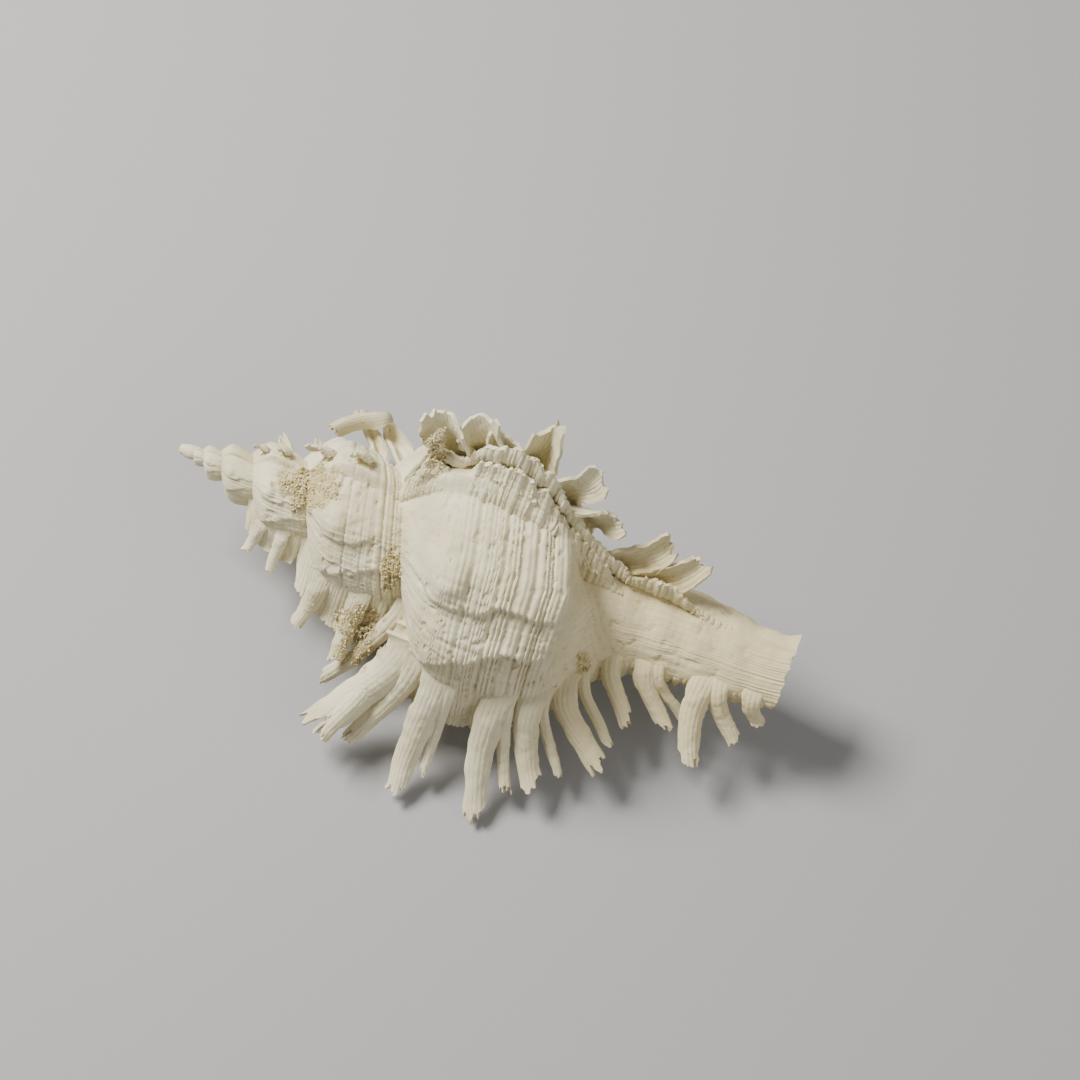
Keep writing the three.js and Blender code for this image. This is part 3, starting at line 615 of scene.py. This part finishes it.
lipTurn, varixTurn, hindTurn = growth["lipTurn"], growth["varixTurn"], growth["hindTurn"]
hindScale = growth["perTurn"] ** (-2 * growth["varixSpacing"] / 360)
lipSheets = [frond(spec, lipTurn, 1, n) for n, spec in enumerate(lipFronds)]
lipSheets += [web(lipWeb, lipTurn, 1, 0, 1)]
lipRow = joinSheets("lipFronds", lipSheets)
upperSheets = []
for n, spec in enumerate(upperFronds):
    upperSheets.append(frond(spec, varixTurn, 1, 30 + n, frondLook["upperStout"]))
upperSheets += [web(upperWeb, varixTurn, 1, 7, 2)]
for shrink, lean, seed in frontFlanks:
    upperSheets.append(web(frontWeb, varixTurn, 1, lean, seed, shrink, True))
upperRow = joinSheets("upperFronds", upperSheets)
# the arched spine behind the spire has two strands: along, out and turn of each corner of their paths
arch = {
    "width": 4.5, "end": 0.75, "fold": 0.35, "stout": 0.47, "strandStout": 0.34,
    "path": [(26, 7, 138), (25.5, 14.8, 133), (19.2, 17.2, 130), (14.8, 7.9, 128)],
    "strandPath": [(22.5, 7, 138), (22.5, 12.5, 133), (19.5, 13.5, 131), (17.0, 12.4, 129)],
}
hindSheets = []
for path, seed, stout in (("path", 49, "stout"), ("strandPath", 48, "strandStout")):
    corners = [place(*corner) for corner in arch[path]]
    hindSheets.append(ribbon(corners, arch["width"], arch["end"], arch["fold"], 1, seed, arch[stout]))
# the hind row has the wider fronds of the lip row, at its own scale
for n, spec in enumerate(lipFronds):
    if spec[2] > 1.9:
        hindSheets.append(frond(spec, hindTurn, hindScale, 50 + n))
hindSheets += [web(lipWeb, hindTurn, hindScale, 0, 4)]
hindRow = joinSheets("hindFronds", hindSheets)
spireSheets = []
# the older rows on the spire, counted from the lip row
for k in range(3, 8):
    roots, tips, lean, webbed = spireRows[k % 3]
    turn = lipTurn + growth["varixSpacing"] * k
    scale = growth["perTurn"] ** (-growth["varixSpacing"] * k / 360)
    worn = k % 3 == 1  # the upper spines are worn short
    stout = spireLook["wornStout" if worn else "stout"]
    for n, (root, tip) in enumerate(zip(roots, tips)):
        if worn:
            tip = [a + spireLook["wornShare"] * (b - a) for a, b in zip(root, tip)]
        spec = (root, tip, spireLook["width"], spireLook["end"], spireLook["fold"], lean, 0)
        spireSheets.append(frond(spec, turn, scale, 70 + 5 * k + n, stout))
    if webbed:
        spireSheets.append(web(spireWeb, turn, scale, 0, 5 + k))
spireRow = joinSheets("spireSpines", spireSheets)
print("fronds made")


# Colour marks kept on the surface: sand, cream, and painted shade in the grooves
def shellPoints(piece):
    flat = np.empty(len(piece.data.vertices) * 3)
    piece.data.vertices.foreach_get("co", flat)
    return (flat.reshape(-1, 3) / mm - np.array(lying["origin"])) @ layDown


def markPiece(piece):
    points = shellPoints(piece)
    mesh = piece.data
    edges = np.empty(len(mesh.edges) * 2, dtype=np.int64)
    mesh.edges.foreach_get("vertices", edges)
    edges = edges.reshape(-1, 2)
    normals = np.empty(len(mesh.vertices) * 3)
    mesh.vertices.foreach_get("normal", normals)
    normals = normals.reshape(-1, 3) @ layDown
    total = np.zeros_like(points)
    count = np.zeros(len(points))
    length = np.zeros(len(points))
    span = np.linalg.norm(points[edges[:, 0]] - points[edges[:, 1]], axis=1)
    for a, b in ((0, 1), (1, 0)):
        np.add.at(total, edges[:, a], points[edges[:, b]])
        np.add.at(count, edges[:, a], 1)
        np.add.at(length, edges[:, a], span)
    # how far each point sinks below its neighbours, which sets the painted shade in grooves and hollows
    dip = np.sum((total / np.maximum(count, 1)[:, None] - points) * normals, axis=1)
    dip = dip / np.maximum(length / np.maximum(count, 1), 0.01)
    marks = {
        "sand": sandAmount(points, normals),
        "cream": smoothStep(46, 56, points[:, 0]) * smoothStep(-1, 3, points[:, 2]),
        # groove: painted shade, the deeper a point dips the darker it is painted
        "groove": np.clip(dip / 0.3, -1, 1) * 0.5 + 0.5,
    }
    for name, values in marks.items():
        mark = mesh.attributes.new(name, "FLOAT", "POINT")
        mark.data.foreach_set("value", values.astype(np.float32))
    return points[marks["sand"] > 0.5]


pieces = [shellBody, lipRow, upperRow, hindRow, spireRow]
sandySpots = np.concatenate([markPiece(piece) for piece in pieces])

# Sand grains stuck on the patches, and heaped on the solid's mounds
grains = {
    "count": 3200, "heap": 450, "small": 0.06, "large": 0.15, "scatter": 0.08, "fill": 0.85, "seed": 8,
}
# along, out and turn of each mound's middle, and its half sizes along, outwards and round
mounds = [
    (16, 4.2, 17, 2.6, 1.3, 2.2), (28.2, 7, -38, 1.2, 1.3, 2), (27.3, 11.6, -81, 2.4, 1.9, 0.8),
    (28.3, 18, 38.5, 1.6, 2.9, 0.7),
]
dice = np.random.default_rng(grains["seed"])
bpy.ops.object.select_all(action="DESELECT")
bpy.ops.mesh.primitive_ico_sphere_add(subdivisions=1, radius=1)
pebble = bpy.context.object
corner = np.array([v.co[:] for v in pebble.data.vertices])
pebbleFaces = [tuple(p.vertices) for p in pebble.data.polygons]
bpy.data.objects.remove(pebble)
spots = sandySpots[np.linalg.norm(sandySpots[:, 1:], axis=1) > 4]
chosen = spots[dice.integers(0, len(spots), grains["count"])]
chosen = chosen + dice.normal(0, grains["scatter"], (grains["count"], 3))
heaps = [chosen]
for along, out, turn, reach, high, around in mounds:
    ball = dice.normal(size=(grains["heap"], 3))
    reached = dice.uniform(0.2, 1, (grains["heap"], 1)) ** 0.4
    ball *= reached / np.linalg.norm(ball, axis=1, keepdims=True)
    ball *= 0.8 + 0.45 * softNoise(ball, 0.7, 14, 2)[:, None]
    frameOf = np.array([[1.0, 0, 0], place(0, 1, turn), place(0, 1, turn + 90)])
    heap = (ball * np.array([reach, high, around]) * grains["fill"]) @ frameOf
    heaps.append(place(along, out, turn) + heap)
chosen = np.concatenate(heaps)
grainPoints, grainFaces = [], []
for n, spot in enumerate(chosen):
    size = dice.uniform(grains["small"], grains["large"]) * dice.uniform(0.7, 1.3, 3)
    spin = np.linalg.qr(dice.normal(size=(3, 3)))[0]
    grainPoints.append((corner * size) @ spin + spot)
    grainFaces += [tuple(k + n * len(corner) for k in face) for face in pebbleFaces]
sandGrains = makePiece("sandGrains", np.concatenate(grainPoints), grainFaces)
print("grains", len(sandGrains.data.polygons))


# Materials
def addNode(tree, kind, **values):
    node = tree.nodes.new(kind)
    for name, value in values.items():
        if name in node.inputs:
            node.inputs[name].default_value = value
        else:
            setattr(node, name, value)
    return node


def makeSurfaceGroup():
    group = bpy.data.node_groups.new("chalkGrain", "ShaderNodeTree")
    for name, value in (("Blotch Size", 160.0), ("Grain Size", 3200.0)):
        socket = group.interface.new_socket(name, in_out="INPUT", socket_type="NodeSocketFloat")
        socket.default_value = value
    for name in ("Blotch", "Grain", "Speck"):
        group.interface.new_socket(name, in_out="OUTPUT", socket_type="NodeSocketFloat")
    source = group.nodes.new("NodeGroupInput")
    sink = group.nodes.new("NodeGroupOutput")
    where = group.nodes.new("ShaderNodeTexCoord")
    blotch = addNode(group, "ShaderNodeTexNoise", Detail=4.0)
    grain = addNode(group, "ShaderNodeTexNoise", Detail=3.0)
    speck = addNode(group, "ShaderNodeTexNoise", Scale=1500.0, Detail=1.0)
    for node in (blotch, grain, speck):
        group.links.new(where.outputs["Object"], node.inputs["Vector"])
    group.links.new(source.outputs["Blotch Size"], blotch.inputs["Scale"])
    group.links.new(source.outputs["Grain Size"], grain.inputs["Scale"])
    few = addNode(group, "ShaderNodeMapRange", clamp=True)
    few.inputs["From Min"].default_value = 0.7
    few.inputs["From Max"].default_value = 0.76
    group.links.new(speck.outputs["Fac"], few.inputs["Value"])
    group.links.new(blotch.outputs["Fac"], sink.inputs["Blotch"])
    group.links.new(grain.outputs["Fac"], sink.inputs["Grain"])
    group.links.new(few.outputs["Result"], sink.inputs["Speck"])
    return group


def linear(colour):
    return [((c + 0.055) / 1.055) ** 2.4 if c > 0.04045 else c / 12.92 for c in colour] + [1]


def mixColour(tree, factor, first, second):
    node = tree.nodes.new("ShaderNodeMix")
    node.data_type = "RGBA"
    for socket, value in ((node.inputs[0], factor), (node.inputs[6], first), (node.inputs[7], second)):
        if isinstance(value, bpy.types.NodeSocket):
            tree.links.new(value, socket)
        else:
            socket.default_value = value
    return node.outputs[2]


def ramp(tree, value, low, high, top=1.0):
    node = addNode(tree, "ShaderNodeMapRange", clamp=True)
    node.inputs["From Min"].default_value = low
    node.inputs["From Max"].default_value = high
    node.inputs["To Max"].default_value = top
    tree.links.new(value, node.inputs["Value"])
    return node.outputs["Result"]


def multiply(tree, value, factor):
    node = tree.nodes.new("ShaderNodeMath")
    node.operation = "MULTIPLY"
    tree.links.new(value, node.inputs[0])
    node.inputs[1].default_value = factor
    return node.outputs[0]


surfaceGroup = makeSurfaceGroup()
# groove is a painted shade colour for the hollows, not a tone of the shell
colours = {
    "body": (0.855, 0.82, 0.68), "pale": (0.915, 0.885, 0.76), "groove": (0.60, 0.58, 0.50),
    "cream": (0.88, 0.825, 0.645), "ochre": (0.68, 0.57, 0.36), "sand": (0.80, 0.74, 0.54),
    "darkSand": (0.66, 0.59, 0.40), "quartz": (0.93, 0.90, 0.77), "darkQuartz": (0.76, 0.70, 0.51),
}
tones = {name: linear(value) for name, value in colours.items()}


def surfaceNode(tree):
    node = tree.nodes.new("ShaderNodeGroup")
    node.node_tree = surfaceGroup
    return node


def makeChalk():
    # the bleached shell: patchy white, cream towards the canal, painted shade in the grooves, sandy in the
    # patches
    material = bpy.data.materials.new("shell_chalk")
    material.use_nodes = True
    tree = material.node_tree
    shader = tree.nodes["Principled BSDF"]
    shader.inputs["Roughness"].default_value = 0.85
    shader.inputs["Specular IOR Level"].default_value = 0.25
    texture = surfaceNode(tree)
    sandMark = addNode(tree, "ShaderNodeAttribute", attribute_name="sand")
    creamMark = addNode(tree, "ShaderNodeAttribute", attribute_name="cream")
    grooveShadeMark = addNode(tree, "ShaderNodeAttribute", attribute_name="groove")
    patchy = ramp(tree, texture.outputs["Blotch"], 0.4, 0.62)
    colour = mixColour(tree, patchy, tones["body"], tones["pale"])
    colour = mixColour(tree, multiply(tree, creamMark.outputs["Fac"], 0.85), colour, tones["cream"])
    # painted shade: the groove colour darkens the surface where it dips into grooves and hollows
    colour = mixColour(tree, ramp(tree, grooveShadeMark.outputs["Fac"], 0.6, 1.0, 0.4), colour, tones["groove"])
    colour = mixColour(tree, multiply(tree, texture.outputs["Speck"], 0.45), colour, tones["ochre"])
    grainy = ramp(tree, texture.outputs["Grain"], 0.4, 0.6)
    sandTone = mixColour(tree, grainy, tones["darkSand"], tones["sand"])
    colour = mixColour(tree, ramp(tree, sandMark.outputs["Fac"], 0.2, 0.8, 0.9), colour, sandTone)
    tree.links.new(colour, shader.inputs["Base Color"])
    bump = addNode(tree, "ShaderNodeBump", Strength=0.5, Distance=0.0001)
    tree.links.new(texture.outputs["Grain"], bump.inputs["Height"])
    tree.links.new(bump.outputs["Normal"], shader.inputs["Normal"])
    return material


def makeSand():
    material = bpy.data.materials.new("sand")
    material.use_nodes = True
    tree = material.node_tree
    shader = tree.nodes["Principled BSDF"]
    shader.inputs["Roughness"].default_value = 0.6
    texture = surfaceNode(tree)
    texture.inputs["Grain Size"].default_value = 1400.0
    grainy = ramp(tree, texture.outputs["Grain"], 0.42, 0.58)
    tone = mixColour(tree, grainy, tones["darkQuartz"], tones["quartz"])
    tree.links.new(tone, shader.inputs["Base Color"])
    return material


chalk = makeChalk()
sand = makeSand()
for piece in pieces + [sandGrains]:
    piece.data.materials.clear()
    piece.data.materials.append(sand if piece is sandGrains else chalk)
    piece.data.polygons.foreach_set("material_index", [0] * len(piece.data.polygons))
    bpy.ops.object.select_all(action="DESELECT")
    bpy.context.view_layer.objects.active = piece
    piece.select_set(True)
    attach(piece, "root")
    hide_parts("shell")
    if piece is not sandGrains:
        bpy.ops.object.shade_smooth_by_angle(angle=rad(50))
print("materials done")

# Floor, light and camera
bpy.ops.mesh.primitive_plane_add(size=3, location=(0, 0, 0))
floor = bpy.context.object
floor.name = "floor"
paper = bpy.data.materials.new("floorPaper")
paper.use_nodes = True
paper.node_tree.nodes["Principled BSDF"].inputs["Base Color"].default_value = (0.40, 0.40, 0.41, 1)
paper.node_tree.nodes["Principled BSDF"].inputs["Roughness"].default_value = 0.9
floor.data.materials.append(paper)

view = {"lookAt": (42.9, 4.8, 0.0), "distance": 400.0, "slope": 20.8, "lens": 115.4}
alongAxis, upAxis, nearAxis = np.eye(3)
right = math.cos(rad(view["slope"])) * alongAxis + math.sin(rad(view["slope"])) * upAxis
upward = -math.sin(rad(view["slope"])) * alongAxis + math.cos(rad(view["slope"])) * upAxis
target = np.array(view["lookAt"])


def aimed(back, distance, asLamp=False):
    # where a camera or lamp stands to look at the shell, from a direction in the shell's own frame
    back = np.array(back, float) / np.linalg.norm(back)
    side = np.cross(upward, back) if asLamp else right
    side = side / np.linalg.norm(side)
    top = np.cross(back, side)
    turned = Matrix([[*(layDown @ v)] for v in (side, top, back)]).transposed().to_4x4()
    turned.translation = Vector(toFrame(target + back * distance))
    return turned


bpy.ops.object.camera_add()
camera = bpy.context.object
camera.matrix_world = aimed((0, 0, 1), view["distance"])
camera.data.lens = view["lens"]
camera.data.sensor_width = 36
bpy.context.scene.camera = camera
lights = [
    {
        "name": "key", "from": upward * 0.9 - right * 0.7 + nearAxis * 0.9,
        "distance": 420, "size": 0.14, "power": 3.5,
    },
    {
        "name": "fill", "from": right * 0.9 - upward * 0.3 + nearAxis * 0.8,
        "distance": 480, "size": 0.4, "power": 0.7,
    },
]
for light in lights:
    bpy.ops.object.light_add(type="AREA")
    lamp = bpy.context.object
    lamp.name = light["name"] + "Light"
    lamp.matrix_world = aimed(light["from"], light["distance"], asLamp=True)
    lamp.data.size = light["size"]
    lamp.data.energy = light["power"]
    lamp.data.color = (1, 0.965, 0.91)
world = bpy.context.scene.world or bpy.data.worlds.new("studio")
bpy.context.scene.world = world
world.use_nodes = True
world.node_tree.nodes["Background"].inputs["Color"].default_value = (1, 1, 1, 1)
world.node_tree.nodes["Background"].inputs["Strength"].default_value = 0.2
print("floor, light and camera done")
